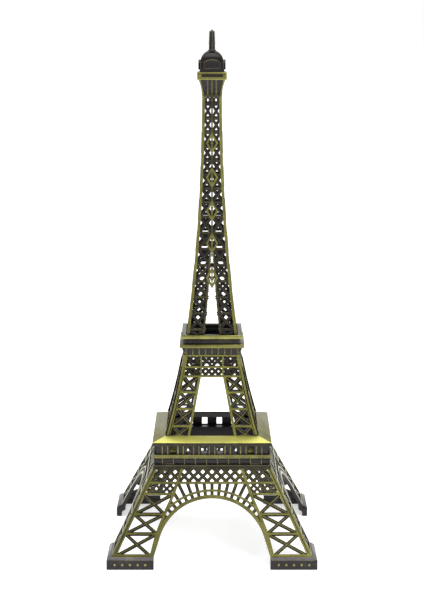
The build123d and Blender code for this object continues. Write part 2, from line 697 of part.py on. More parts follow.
def second_floor_parapet():
    ring = square_ring(oblong(-SECOND_UPPER_W, -SECOND_IN, SECOND_BAND, SECOND_TOP))
    return ring - corner_pegs(UPPER_PEG[0], UPPER_PEG[1] + FIT, SECOND_BAND, SECOND_BAND + 1.4)


# Spire sides

spire_bow = bowed(SPIRE_Z0, SPIRE_W0, SPIRE_Z1, SPIRE_W1, SPIRE_BOW)
spire_gap = bowed(SPIRE_FIRST, SPIRE_GAP_FOOT, SPIRE_GAP_TOP, SPIRE_GAP_HALF, SPIRE_GAP_BOW)


def spire_width(z):
    """Upright below its first level, so that it drops inside the parapet."""
    return spire_bow(max(z, SPIRE_Z0))


def spire_levels():
    low_bay = (SPIRE_SPLIT - SPIRE_FIRST) / SPIRE_BAYS_LOW
    high_bay = (SPIRE_LAST - SPIRE_SPLIT) / SPIRE_BAYS_HIGH
    low = [SPIRE_FIRST + step * low_bay for step in range(SPIRE_BAYS_LOW)]
    high = [SPIRE_SPLIT + step * high_bay for step in range(SPIRE_BAYS_HIGH + 1)]
    return low + high


def spire_inner(z):
    """The inner edge of a bay: beside the gap below, and the middle post above."""
    return max(spire_gap(z), SPIRE_GAP_HALF) if z < SPIRE_GAP_TOP else 0.0


def spire_braces(low_width, high_width, crest_width):
    """The crosses of every bay, and the two small crosses at the crest, at these widths."""
    bays = [SECOND_LIP + 1] + spire_levels()
    braces = []
    for low, high in zip(bays, bays[1:]):
        width = low_width if low < SPIRE_SPLIT - 1 else high_width
        braces += mirrored(cross(spire_inner, lambda z: spire_width(z) - RAIL_IN, low, high, width))
    half = (SPIRE_W1 - RAIL_IN) / 2
    for left, right in ((0.0, half), (half, SPIRE_W1 - RAIL_IN)):
        braces += mirrored(cross(lambda z: left, lambda z: right, SPIRE_LAST, SPIRE_CREST, crest_width))
    return braces


def spire_struts(width):
    bars = []
    for z in spire_levels():
        bars += mirrored([bar((spire_inner(z), z), (spire_width(z) - RAIL_IN, z), width)])
    return bars


def badge(z):
    """A raised open lozenge with a stud on a stem in its middle."""
    def lozenge(wide, tall):
        return polygon([(wide, z), (0, z + tall), (-wide, z), (0, z - tall)])
    wide, tall = BADGE_WIDE / 2, BADGE_TALL / 2
    slope = math.hypot(wide, tall)
    cut = BADGE_BAR * slope
    hole = lozenge(wide - cut / tall, tall - cut / wide)
    stem = bar((0, z - tall + 1), (0, z + tall - 1), 0.8)
    return joined([lozenge(wide, tall) - hole, lozenge(*BADGE_STUD), stem])


def spire_side():
    """One spire side: two legs that meet, crossed bays, and five raised badges."""
    rows = spire_levels()
    levels = (SECOND_LIP, SPIRE_Z0, *rows, SPIRE_Z1)
    gap = [SECOND_LIP] + [z for z in rows if z < SPIRE_GAP_TOP] + [SPIRE_GAP_TOP - 0.01]
    plate = SECOND_LIP + SPIRE_INNER_POST / 2
    frame = mirrored([
        ribbon(spire_width, levels, -SPIRE_POST, 2.0),
        ribbon(spire_inner, gap, 0, SPIRE_INNER_POST),
        bar((spire_inner(plate), plate), (spire_width(plate), plate), SPIRE_INNER_POST),
    ])
    frame.append(bar((0, SPIRE_GAP_TOP - 1.5), (0, SPIRE_Z1), SPIRE_STRUT))
    for z in (SPIRE_CREST, SPIRE_Z1 - SPIRE_STRUT / 2):
        end = spire_width(z) - RAIL_IN
        frame.append(bar((-end, z), (end, z), SPIRE_STRUT))
    ridges = spire_struts(SPIRE_STRUT) + spire_braces(SPIRE_RIDGE, SPIRE_RIDGE, CREST_BAR)
    flanges = spire_struts(SPIRE_STRUT_FLANGE)
    flanges += spire_braces(SPIRE_FLANGE_LOW, SPIRE_FLANGE_HIGH, CREST_FLANGE)
    badges = joined([badge(z) for z in BADGE_LEVELS])
    ridge_front, flange_front = SPIRE_RELIEF
    side = raised(joined(frame), curtain(spire_width, levels, 0, SPIRE_THICK))
    side += raised(joined(ridges), curtain(spire_width, levels, ridge_front, flange_front + LAP))
    side += raised(joined(flanges), curtain(spire_width, levels, flange_front, SPIRE_THICK))
    side += raised(badges, curtain(spire_width, levels, -BADGE_RISE, SPIRE_THICK))
    side &= quarter(SECOND_LIP, SPIRE_Z1)
    side += tab_pair(*SPIRE_FOOT_TAB[:5], SPIRE_FOOT_TAB[5] + 0.5)
    side += tab_pair(*SPIRE_TOP_TAB[:4], SPIRE_TOP_TAB[4] - 0.5, SPIRE_TOP_TAB[5])
    return side


# Head

HEAD_PEG = 2.0


def peg(radius, low, high):
    return Pos(0, 0, low) * Cylinder(radius, high - low, align=(Align.CENTER, Align.CENTER, Align.MIN))


def head_cove():
    ring = square_ring(coved_section(SPIRE_Z1, COVE_TOP, COVE_W0 - 0.5, COVE_W1 - 0.7, 0.5, 3.6))
    rib = coved_section(SPIRE_Z1, COVE_TOP, COVE_W0, COVE_W1, 0.45, 4.0)
    ring += ribs(rib, COVE_RIBS, COVE_RIB_PITCH, COVE_RIB)
    corner = extrude(Plane.YZ * rib, amount=REACH, both=True) & quarter(SPIRE_Z1, COVE_TOP)
    low, high = COVE_W0 - COVE_EDGE, COVE_W1 - COVE_EDGE
    between = polygon([(low, SPIRE_Z1), (high, COVE_TOP), (-high, COVE_TOP), (-low, SPIRE_Z1)])
    ring += turned(corner - extrude(Plane.XZ * between, amount=REACH))
    for slots in turned(Part() + tab_pair(*SPIRE_TOP_TAB, grow=FIT)):
        ring -= slots
    return ring


def head_collar():
    collar = block(-COLLAR_W, COLLAR_W, -COLLAR_W, COLLAR_W, COVE_TOP, COLLAR_TOP)
    collar = chamfer(collar.edges(), COLLAR_CHAMFER)
    half, tall, deep = COLLAR_SLOT
    low = (COVE_TOP + COLLAR_TOP - tall) / 2 + COLLAR_SLOT_UP
    collar -= turned(block(-half, half, -REACH, deep - COLLAR_W, low, low + tall))
    wide, drop = COLLAR_PLUG
    collar += block(-wide, wide, -wide, wide, COVE_TOP - drop, COVE_TOP)
    return collar - peg(HEAD_PEG + FIT, COVE_TOP - drop, COLLAR_TOP)


def lantern_cabin():
    neck = block(-NECK_W, NECK_W, -NECK_W, NECK_W, COLLAR_TOP, NECK_TOP)
    room = block(-CABIN_W, CABIN_W, -CABIN_W, CABIN_W, NECK_TOP, CABIN_TOP)
    porch = block(-PORCH_HALF, PORCH_HALF, -PORCH_W, PORCH_W, NECK_TOP, CABIN_TOP)
    roof = make_face([
        Line((-PORCH_HALF, CABIN_TOP), (PORCH_HALF, CABIN_TOP)),
        ThreePointArc((PORCH_HALF, CABIN_TOP), (0, CABIN_TOP + PORCH_RISE), (-PORCH_HALF, CABIN_TOP)),
    ])
    porch += extrude(Plane.XZ * roof, amount=PORCH_W, both=True)
    porch -= block(-REACH, REACH, -CABIN_W, CABIN_W, CABIN_TOP, HEIGHT)
    cabin = neck + room + porch + Rot(Z=90) * porch + peg(HEAD_PEG, COVE_TOP - 2.5, COLLAR_TOP)
    inset = PORCH_HALF - PORCH_FRAME
    sunk = block(-inset, inset, -REACH, PORCH_SUNK - PORCH_W, NECK_TOP + PORCH_FRAME, CABIN_TOP)
    cabin -= turned(sunk)
    return cabin - peg(1.5 + FIT, CABIN_TOP - 2.0, CABIN_TOP)


def vault(half, top):
    """A barrel vault along Y, on the cabin's top."""
    arch = make_face([
        Line((-half, CABIN_TOP), (half, CABIN_TOP)),
        ThreePointArc((half, CABIN_TOP), (0, top), (-half, CABIN_TOP)),
    ])
    return extrude(Plane.XZ * arch, amount=half, both=True)


def cupola():
    """A square dome of two crossing vaults, with raised rims along its four edges."""
    shell = vault(CABIN_W, CUPOLA_TOP)
    core = vault(CABIN_W - CUPOLA_SUNK, CUPOLA_TOP - CUPOLA_SUNK)
    between = vault(CABIN_W - CUPOLA_RIM, CUPOLA_TOP - CUPOLA_RIM)
    panels = extrude(between.faces().sort_by(Axis.Y)[0], amount=REACH) + between
    panels -= core & Rot(Z=90) * core
    dome = shell & Rot(Z=90) * shell
    dome -= [panels, Rot(Z=90) * panels, Rot(Z=180) * panels, Rot(Z=270) * panels]
    dome += peg(MAST_R0 + 0.5, CUPOLA_TOP - 2.0, CUPOLA_TOP)
    dome -= peg(1.2 + FIT, CUPOLA_TOP - 3.0, CUPOLA_TOP + 1)
    return dome + peg(1.5, CABIN_TOP - 1.8, CABIN_TOP)


def mast():
    foot_ring = Pos(0, 0, CUPOLA_TOP) * RegularPolygon(MAST_R0, 8)
    tip_ring = Pos(0, 0, MAST_TOP) * RegularPolygon(MAST_R1, 8)
    shaft = loft([foot_ring, tip_ring])
    shaft += peg(0.75, MAST_TOP, MAST_TOP + 0.5)
    shaft += peg(0.45, MAST_TOP + 0.5, HEIGHT)
    return shaft + peg(1.2, CUPOLA_TOP - 2.8, CUPOLA_TOP)


# Write one file for each sub-part

def save(name, shape):
    export_step(shape, f"parts/{name}.step", write_pcurves=False)


def save_sides(name, shape):
    for step, side in enumerate(SIDES):
        save(f"{name}_{side}", Rot(Z=90 * step) * shape)


def main():
    os.makedirs("parts", exist_ok=True)
    feet = ("front_right", "back_right", "back_left", "front_left")
    one_foot = foot()
    for step, place in enumerate(feet):
        save(f"foot_{place}", Rot(Z=90 * step) * one_foot)
    save_sides("lower_side", lower_side())
    save("first_floor_fascia", first_floor_fascia())
    save("first_floor_gallery", first_floor_gallery())
    save("first_floor_cornice", first_floor_cornice())
    save_sides("middle_side", middle_side())
    save("second_floor_fascia", second_floor_fascia())
    save("second_floor_balcony", second_floor_balcony())
    save("second_floor_parapet", second_floor_parapet())
    save_sides("spire_side", spire_side())
    save("head_cove", head_cove())
    save("head_collar", head_collar())
    save("lantern_cabin", lantern_cabin())
    save("cupola", cupola())
    save("mast", mast())


main()
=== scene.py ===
import math

import bmesh
import bpy
import numpy as np
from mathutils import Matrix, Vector


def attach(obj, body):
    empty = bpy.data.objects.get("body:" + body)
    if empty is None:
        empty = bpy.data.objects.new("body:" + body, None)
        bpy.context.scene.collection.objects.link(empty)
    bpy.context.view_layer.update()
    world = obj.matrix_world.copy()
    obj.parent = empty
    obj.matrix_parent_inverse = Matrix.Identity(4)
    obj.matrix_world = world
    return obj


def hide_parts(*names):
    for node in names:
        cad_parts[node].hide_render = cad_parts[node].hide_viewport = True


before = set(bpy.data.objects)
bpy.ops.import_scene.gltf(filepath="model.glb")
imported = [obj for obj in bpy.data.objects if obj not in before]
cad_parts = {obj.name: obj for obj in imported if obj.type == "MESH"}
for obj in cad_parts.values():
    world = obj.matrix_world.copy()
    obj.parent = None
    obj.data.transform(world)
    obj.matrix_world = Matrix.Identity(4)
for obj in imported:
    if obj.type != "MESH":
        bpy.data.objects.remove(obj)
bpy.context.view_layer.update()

# A souvenir lattice tower, die-cast in zinc, plated in antique brass and lacquered. Each casting is a
# copy of its CAD node with softened edges. A face attribute says how far the black patina is rubbed
# back to brass: 0 deep in a recess, 1 on an edge that every hand touches. The same attribute also
# carries painted light: most faces that look up are set lighter as a painted highlight, and the
# cornice's roof is set brightest on its front and back as a painted highlight and less bright on its
# sides as painted shade.

bl_info = {
    "name": "Miniature Lattice Tower",
    "version": (1, 0, 0),
    "blender": (4, 5, 0),
    "location": "3D View > Sidebar > Tower",
    "description": "Finishes the castings of a souvenir lattice tower in antique brass",
    "category": "Object",
}

MM = 0.001
SIDES = ("front", "right", "back", "left")
FEET = ("front_right", "back_right", "back_left", "front_left")

# The record's slots, and the plating that each is given
PLATES = {
    "antique_brass": "lacquered_antique_brass",
    "rubbed_brass": "lacquered_rubbed_brass",
    "gunmetal_patina": "lacquered_gunmetal_patina",
}

# Outer half widths of the leaning and bowed sides, in mm: low height and half width, high height and
# half width, and the bow at mid height
LOWER_FACE = (7.3, 60.7, 56.1, 36.1, 0.0)
MIDDLE_FACE = (74.7, 27.95, 122.3, 17.3, -0.82)
SPIRE_FACE = (135.1, 15.6, 281.0, 6.0, -2.4)
COVE_FACE = (281.0, 6.2, 290.1, 8.1, -0.45)

# How far below a side's outer surface its layers end, in mm: posts and rails, then ridges
FRAME_DEPTH = 0.12
RIDGE_DEPTH = 0.34

# Least share of a face's normal that points outwards or upwards, for the face to count as a front, as a
# front in a hollow cove, as a front that stands upright, as a top, or as a sloping ledge. A back's share
# that points outwards is below the last.
FRONT = 0.5
COVE_FRONT = 0.4
UPRIGHT_FRONT = 0.8
TOP = 0.6
LEDGE = 0.3
BACK = -0.3

# How far each surface is rubbed, from 0 for black patina to 1 for bright brass. Most faces that look up,
# the ledges of the feet and the lantern's tops are set lighter as a painted highlight; the roof is set
# brightest on its front and back as a painted highlight and less bright on its sides as painted shade.
RUB_AND_PAINTED_LIGHT = {
    "back": 0.02, "side": 0.12, "top": 0.4, "inner top": 0.1,
    "groove": 0.03, "flange": 0.04, "recess": 0.05, "rib": 0.42,
    "foot": 0.03, "foot wall": 0.14, "foot stud": 0.62, "foot top": 0.3,
    "lower top rail": 0.26, "first moulding": 0.2,
    "gallery column": 0.48, "gallery rail": 0.5,
    "roof": 1.0, "side roof": 0.47, "roof lip": 0.08,
    "balcony": 0.2, "balcony lip": 0.52, "parapet": 0.62,
    "spire post": 0.56, "badge": 0.55,
    "cove post": 0.5, "collar": 0.54, "collar slot": 0.0,
    "lantern": 0.05, "lantern top": 0.12,
}


# Small helpers

def srgb(hex_text):
    """An sRGB hex colour as linear red, green, blue and alpha."""
    linear = []
    for start in (1, 3, 5):
        value = int(hex_text[start:start + 2], 16) / 255
        linear.append(value / 12.92 if value <= 0.04045 else ((value + 0.055) / 1.055) ** 2.4)
    return (*linear, 1.0)


def add_node(tree, kind, values=None, **settings):
    """Add one node with its settings. values gives each input a constant or another node's output."""
    new = tree.nodes.new(kind)
    for name, value in settings.items():
        setattr(new, name, value)
    for socket, value in (values or {}).items():
        if isinstance(value, bpy.types.NodeSocket):
            tree.links.new(value, new.inputs[socket])
        else:
            new.inputs[socket].default_value = value
    return new


def per_metre(size_mm):
    """The noise scale, on Object coordinates in metres, whose features are this many mm across."""
    return 1000.0 / size_mm


# Materials

def plated(name, stops, patina_roughness, brass_roughness, settings):
    """Plating over a zinc die-casting, dark in the recesses with patina and painted shade, rubbed back where
    it stands proud.

    stops gives the colours from patina to brass, as pairs of position and colour.
    """
    material = bpy.data.materials.new(name)
    material.use_nodes = True
    tree = material.node_tree
    tree.nodes.clear()
    place = add_node(tree, "ShaderNodeTexCoord").outputs["Object"]
    # Patches of uneven rubbing, 9 mm across, from a cloth wheel
    patches = add_node(tree, "ShaderNodeTexNoise", {
        "Vector": place, "Scale": per_metre(9.0), "Detail": 3.0, "Roughness": 0.6})
    # The casting's skin: real pits are 0.2 mm, drawn 0.9 mm across so that they show
    skin = add_node(tree, "ShaderNodeTexNoise", {
        "Vector": place, "Scale": per_metre(0.9), "Detail": 2.0, "Roughness": 0.55})
    rub_and_painted_light = add_node(tree, "ShaderNodeAttribute", attribute_type="GEOMETRY", attribute_name="rub_and_painted_light")
    # Patina gathers within 2.5 mm of a corner, and this darkening near corners also paints the shade that
    # falls there
    corner = add_node(tree, "ShaderNodeAmbientOcclusion", {"Distance": 2.5 * MM}, samples=8)
    clear_of_patina_and_painted_shade = add_node(tree, "ShaderNodeMapRange", {
        "Value": corner.outputs["AO"], "From Min": 0.25, "From Max": 0.8, "To Min": 0.45, "To Max": 1.0})
    worn_and_painted_light = add_node(tree, "ShaderNodeMath", {
        0: rub_and_painted_light.outputs["Fac"], 1: clear_of_patina_and_painted_shade.outputs["Result"]}, operation="MULTIPLY")
    uneven = add_node(tree, "ShaderNodeMapRange", {
        "Value": patches.outputs["Fac"], "From Min": 0.3, "From Max": 0.7, "To Min": -0.09, "To Max": 0.06})
    speckle = add_node(tree, "ShaderNodeMapRange", {
        "Value": skin.outputs["Fac"], "From Min": 0.3, "From Max": 0.7, "To Min": -0.07, "To Max": 0.07})
    noise = add_node(tree, "ShaderNodeMath", {
        0: uneven.outputs["Result"], 1: speckle.outputs["Result"]}, operation="ADD")
    level = add_node(tree, "ShaderNodeMath", {
        0: worn_and_painted_light.outputs["Value"], 1: noise.outputs["Value"]}, operation="ADD", use_clamp=True)
    ramp = add_node(tree, "ShaderNodeValToRGB", {"Fac": level.outputs["Value"]})
    colours = ramp.color_ramp.elements
    while len(colours) < len(stops):
        colours.new(0.5)
    for element, (position, colour) in zip(colours, stops):
        element.position = position
        element.color = colour
    roughness = add_node(tree, "ShaderNodeMapRange", {
        "Value": level.outputs["Value"], "To Min": patina_roughness, "To Max": brass_roughness})
    bump = add_node(tree, "ShaderNodeBump", {
        "Height": skin.outputs["Fac"], "Strength": 0.5, "Distance": 0.05 * MM})
    # A metal under clear lacquer: the lacquer turns grazing faces pale in a white room
    shader = add_node(tree, "ShaderNodeBsdfPrincipled", {
        "Base Color": ramp.outputs["Color"], "Metallic": 1.0, "Roughness": roughness.outputs["Result"],
        "Normal": bump.outputs["Normal"], "Coat Weight": settings.lacquer,
        "Coat Roughness": settings.lacquer_roughness, "Coat IOR": 1.5})
    add_node(tree, "ShaderNodeOutputMaterial", {"Surface": shader.outputs["BSDF"]})
    return material


def finish(slot):
    """The material for one of the record's slots, made once."""
    name = PLATES[slot]
    found = bpy.data.materials.get(name)
    if found:
        return found
    settings = bpy.context.scene.tower_finish
    patina, umber = tuple(settings.patina), tuple(settings.umber)
    olive, bright = tuple(settings.olive), tuple(settings.bright)
    if slot == "antique_brass":
        # Brass plate blackened, then buffed: olive brass on the bars, black between them
        stops = [(0.0, patina), (0.14, patina), (0.38, umber), (0.75, olive), (1.0, bright)]
        return plated(name, stops, 0.5, 0.34, settings)
    if slot == "rubbed_brass":
        # The same plate scoured with an abrasive pad: a pale satin yellow with little patina left
        stops = [(0.0, patina), (0.3, umber), (0.6, olive), (0.9, bright)]
        return plated(name, stops, 0.5, 0.52, settings)
    # The same plate left nearly unbuffed: a smooth warm black with thin bright edges
    stops = [(0.0, patina), (0.12, patina), (0.36, tuple(settings.gunmetal)), (0.8, olive), (1.0, bright)]
    return plated(name, stops, 0.42, 0.36, settings)


# Where a casting is rubbed, and where light is painted on it

class Survey:
    """Every face of a mesh, measured in mm against the side of the tower that it belongs to."""

    def __init__(self, mesh):
        self.count = len(mesh.polygons)
        centres = np.zeros(self.count * 3)
        normals = np.zeros(self.count * 3)
        mesh.polygons.foreach_get("center", centres)
        mesh.polygons.foreach_get("normal", normals)
        centres = centres.reshape(-1, 3) / MM
        normals = normals.reshape(-1, 3)
        outward = normals * np.sign(centres)
        self.sideways = np.abs(centres[:, 0]) > np.abs(centres[:, 1])
        self.out = np.abs(centres[:, :2]).max(axis=1)
        self.across = np.abs(centres[:, :2]).min(axis=1)
        self.facing = np.where(self.sideways, outward[:, 0], outward[:, 1])
        self.up = normals[:, 2]
        self.height = centres[:, 2]
        points = np.zeros(len(mesh.vertices) * 3)
        mesh.vertices.foreach_get("co", points)
        points = points.reshape(-1, 3) / MM
        self.span = np.zeros(self.count)
        for face in mesh.polygons:
            lateral = points[list(face.vertices), 1 if self.sideways[face.index] else 0]
            self.span[face.index] = lateral.max() - lateral.min()

    def front(self):
        """The faces that look outwards."""
        return self.facing > FRONT

    def top(self):
        """The faces that look up."""
        return self.up > TOP

    def plain(self):
        """Patina on sides and backs, and what faces up set lighter as a painted highlight."""
        values = np.where(self.facing < BACK, RUB_AND_PAINTED_LIGHT["back"], RUB_AND_PAINTED_LIGHT["side"])
        return np.where(self.top(), RUB_AND_PAINTED_LIGHT["top"], values)

    def width(self, face):
        """The half width over a bowed side at each face's height."""
        low, w_low, high, w_high, bow = face
        t = np.clip((self.height - low) / (high - low), 0, 1)
        return w_low + (w_high - w_low) * t + 4 * bow * t * (1 - t)

    def depth(self, face):
        """How far each face lies behind a bowed side's outer surface."""
        return self.width(face) - self.out

    def inboard(self, face):
        """How far each face lies in from the side's corner."""
        return self.width(face) - self.across


def rub_lattice(survey, face, frame_rub, ridge_rub, web_rub, flange_depth):
    """Posts and rails are rubbed most, then ridges. Flanges and the grooves beside posts stay black."""
    values = survey.plain()
    depth = survey.depth(face)
    front = survey.front()
    groove_wide = 2.2
    values[front & (depth < FRAME_DEPTH)] = frame_rub
    values[front & (depth >= FRAME_DEPTH) & (depth < RIDGE_DEPTH)] = ridge_rub
    values[front & (depth >= RIDGE_DEPTH)] = web_rub
    values[front & (depth >= RIDGE_DEPTH) & (survey.inboard(face) < groove_wide)] = RUB_AND_PAINTED_LIGHT["groove"]
    values[front & (depth >= flange_depth)] = RUB_AND_PAINTED_LIGHT["flange"]
    return values


def rub_lower(survey):
    values = rub_lattice(survey, LOWER_FACE, frame_rub=0.55, ridge_rub=0.48, web_rub=0.38, flange_depth=0.7)
    top_rail_low = 54.8
    values[survey.front() & (survey.height > top_rail_low)] = RUB_AND_PAINTED_LIGHT["lower top rail"]
    return values


def rub_middle(survey):
    return rub_lattice(survey, MIDDLE_FACE, frame_rub=0.66, ridge_rub=0.52, web_rub=0.3, flange_depth=0.7)


def rub_spire(survey):
    values = rub_lattice(survey, SPIRE_FACE, frame_rub=0.34, ridge_rub=0.26, web_rub=0.2, flange_depth=0.45)
    depth = survey.depth(SPIRE_FACE)
    front = survey.front()
    post_wide, badge_half = 1.75, 4.0
    values[front & (depth < FRAME_DEPTH) & (survey.inboard(SPIRE_FACE) < post_wide)] = RUB_AND_PAINTED_LIGHT["spire post"]
    values[front & (depth < -FRAME_DEPTH) & (survey.across < badge_half)] = RUB_AND_PAINTED_LIGHT["badge"]
    return values


def rub_feet_with_painted_ledge_light(survey):
    values = np.full(survey.count, RUB_AND_PAINTED_LIGHT["foot"])
    outside = survey.front()
    wall_out, stud_out, ledge_high = 60.5, 63.7, 5.0
    values[outside & (survey.out > wall_out)] = RUB_AND_PAINTED_LIGHT["foot wall"]
    values[outside & (survey.out > stud_out)] = RUB_AND_PAINTED_LIGHT["foot stud"]
    # The ledge on top of each foot is set lighter as a painted reflection of the overhead light
    values[(survey.up > LEDGE) & (survey.height > ledge_high)] = RUB_AND_PAINTED_LIGHT["foot top"]
    return values


def rub_fascia(survey, rib_wide):
    """A hollow cove between upright ribs: only the ribs and the moulding are rubbed."""
    values = survey.plain()
    front = survey.facing > COVE_FRONT
    values[front] = RUB_AND_PAINTED_LIGHT["recess"]
    values[front & (survey.span < rib_wide)] = RUB_AND_PAINTED_LIGHT["rib"]
    return values


def rub_first_fascia(survey):
    values = rub_fascia(survey, rib_wide=1.0)
    moulding_high = 57.2
    values[(survey.facing > UPRIGHT_FRONT) & (survey.height < moulding_high)] = RUB_AND_PAINTED_LIGHT["first moulding"]
    return values


def rub_gallery(survey):
    values = survey.plain()
    front = survey.front()
    column_out, rail_out, inner_out = 35.2, 36.0, 34.0
    values[front] = RUB_AND_PAINTED_LIGHT["recess"]
    values[front & (survey.out > column_out)] = RUB_AND_PAINTED_LIGHT["gallery column"]
    values[front & (survey.out > rail_out)] = RUB_AND_PAINTED_LIGHT["gallery rail"]
    values[survey.top() & (survey.out < inner_out)] = RUB_AND_PAINTED_LIGHT["inner top"]
    return values


def rub_cornice_with_painted_roof_light(survey):
    values = survey.plain()
    # The roof is painted: brightest on the front and back as a painted highlight of the light in front and
    # above, less bright on the sides as painted shade
    values[survey.top()] = RUB_AND_PAINTED_LIGHT["roof"]
    values[survey.top() & survey.sideways] = RUB_AND_PAINTED_LIGHT["side roof"]
    values[survey.facing > UPRIGHT_FRONT] = RUB_AND_PAINTED_LIGHT["roof lip"]
    return values


def rub_second_fascia(survey):
    return rub_fascia(survey, rib_wide=1.0)


def rub_balcony(survey):
    values = survey.plain()
    front = survey.front()
    lip_out, inner_out = 19.5, 16.0
    values[front] = RUB_AND_PAINTED_LIGHT["balcony"]
    values[front & (survey.out > lip_out)] = RUB_AND_PAINTED_LIGHT["balcony lip"]
    values[survey.top() & (survey.out < inner_out)] = RUB_AND_PAINTED_LIGHT["inner top"]
    return values


def rub_parapet(survey):
    values = survey.plain()
    values[survey.front()] = RUB_AND_PAINTED_LIGHT["parapet"]
    # Its top is set lighter than its sides as a painted highlight
    values[survey.top()] = RUB_AND_PAINTED_LIGHT["top"]
    return values


def rub_cove(survey):
    values = rub_fascia(survey, rib_wide=0.9)
    post_wide = 1.5
    values[(survey.facing > COVE_FRONT) & (survey.inboard(COVE_FACE) < post_wide)] = RUB_AND_PAINTED_LIGHT["cove post"]
    return values


def rub_collar(survey):
    values = survey.plain()
    slot_out = 8.6
    values[survey.front()] = RUB_AND_PAINTED_LIGHT["collar"]
    values[survey.front() & (survey.out < slot_out)] = RUB_AND_PAINTED_LIGHT["collar slot"]
    return values


def rub_lantern_with_painted_tops(survey):
    """Dark all over, so that only the softened edges show brass; its tops are set a little lighter as a
    painted highlight.
    """
    return np.where(survey.top(), RUB_AND_PAINTED_LIGHT["lantern top"], RUB_AND_PAINTED_LIGHT["lantern"])


# Castings

# Points nearer than this are one point, in mm
MERGE = 0.002
# Faces that meet at less than this are one flat, edges sharper than the next are softened, and edges
# flatter than the last are shaded smooth, in degrees
FLAT_ANGLE = 0.1
SHARP_ANGLE = 30
SMOOTH_ANGLE = 32


def soften(mesh, values, least):
    """Mark the convex edges beside a face that is rubbed at least this much, for the bevel."""
    shape = bmesh.new()
    shape.from_mesh(mesh)
    shape.faces.ensure_lookup_table()
    weights = np.zeros(len(shape.edges))
    for edge in shape.edges:
        if len(edge.link_faces) != 2:
            continue
        if edge.calc_face_angle_signed(0.0) < math.radians(SHARP_ANGLE):
            continue
        if max(values[face.index] for face in edge.link_faces) >= least:
            weights[edge.index] = 1.0
    shape.free()
    layer = mesh.attributes.new("bevel_weight_edge", "FLOAT", "EDGE")
    layer.data.foreach_set("value", weights)


def set_rub_and_painted_light(mesh, values):
    """Write how far each face is rubbed, with the painted light that it carries, for the materials to read.
    """
    layer = mesh.attributes.get("rub_and_painted_light") or mesh.attributes.new("rub_and_painted_light", "FLOAT", "FACE")
    layer.data.foreach_set("value", np.clip(values, 0, 1).astype(np.float32))


def cast(node, slot, rule, edge, wear, segments=1, least=0.2):
    """Copy a CAD node, soften its raised edges, mark where it is rubbed and where light is painted, and give
    it its finish.

    edge is the width of the softened edges, and wear is how much more they are rubbed than the faces
    beside them. Only edges beside a face that is rubbed at least as much as least are softened.
    """
    bpy.ops.object.select_all(action="DESELECT")
    piece = bpy.data.objects.new(node + "_cast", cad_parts[node].data.copy())
    bpy.context.scene.collection.objects.link(piece)
    bpy.context.view_layer.objects.active = piece
    piece.select_set(True)
    mesh = piece.data
    mesh.materials.clear()
    bpy.ops.mesh.customdata_custom_splitnormals_clear()
    bpy.ops.object.mode_set(mode="EDIT")
    bpy.ops.mesh.select_all(action="SELECT")
    bpy.ops.mesh.remove_doubles(threshold=MERGE * MM)
    bpy.ops.mesh.dissolve_limited(angle_limit=math.radians(FLAT_ANGLE))
    bpy.ops.mesh.vert_connect_concave()
    bpy.ops.object.mode_set(mode="OBJECT")
    values = rule(Survey(mesh))
    set_rub_and_painted_light(mesh, values)
    soften(mesh, values, least)
    material = finish(slot)
    mesh.materials.append(material)
    # A second slot, for a moment, tells the softened edges from the rest
    mesh.materials.append(material)
    bevel = piece.modifiers.new("soft edges", "BEVEL")
    bevel.limit_method = "WEIGHT"
    bevel.width = edge
    bevel.segments = segments
    bevel.use_clamp_overlap = False
    bevel.material = 1
    bpy.ops.object.modifier_apply(modifier=bevel.name)
    rubbed = np.zeros(len(mesh.polygons), np.float32)
    mesh.attributes["rub_and_painted_light"].data.foreach_get("value", rubbed)
    slots = np.zeros(len(mesh.polygons), np.int32)
    mesh.polygons.foreach_get("material_index", slots)
    set_rub_and_painted_light(mesh, np.where(slots == 1, rubbed + wear, rubbed))
    mesh.polygons.foreach_set("material_index", np.zeros(len(mesh.polygons), np.int32))
    mesh.materials.pop()
    bpy.ops.object.shade_smooth_by_angle(angle=math.radians(SMOOTH_ANGLE))
    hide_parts(node)
    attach(piece, "root")


# What a user would change

class TOWER_PG_finish(bpy.types.PropertyGroup):
    patina: bpy.props.FloatVectorProperty(
        name="Patina", description="Black patina left in the recesses", subtype="COLOR", size=4,
        default=srgb("#231f20"), min=0, max=1)
    umber: bpy.props.FloatVectorProperty(
        name="Umber", description="Where the patina thins", subtype="COLOR", size=4,
        default=srgb("#4b4729"), min=0, max=1)
    olive: bpy.props.FloatVectorProperty(
        name="Olive brass", description="Raised bars, rubbed back to brass under lacquer", subtype="COLOR",
        size=4, default=srgb("#96934a"), min=0, max=1)
    # On the roof this bright brass stands for a painted highlight; on the edges it is wear
    bright: bpy.props.FloatVectorProperty(
        name="Bright brass", description="Edges and the roof, rubbed most", subtype="COLOR", size=4,
        default=srgb("#e8e57c"), min=0, max=1)
    gunmetal: bpy.props.FloatVectorProperty(
        name="Gunmetal", description="The feet and the lantern", subtype="COLOR", size=4,
        default=srgb("#4f4a4e"), min=0, max=1)
    lacquer: bpy.props.FloatProperty(
        name="Lacquer", description="Strength of the clear lacquer", subtype="FACTOR", default=0.5,
        min=0, max=1)
    lacquer_roughness: bpy.props.FloatProperty(
        name="Lacquer roughness", description="How satin the lacquer is", subtype="FACTOR", default=0.22,
        min=0, max=1)


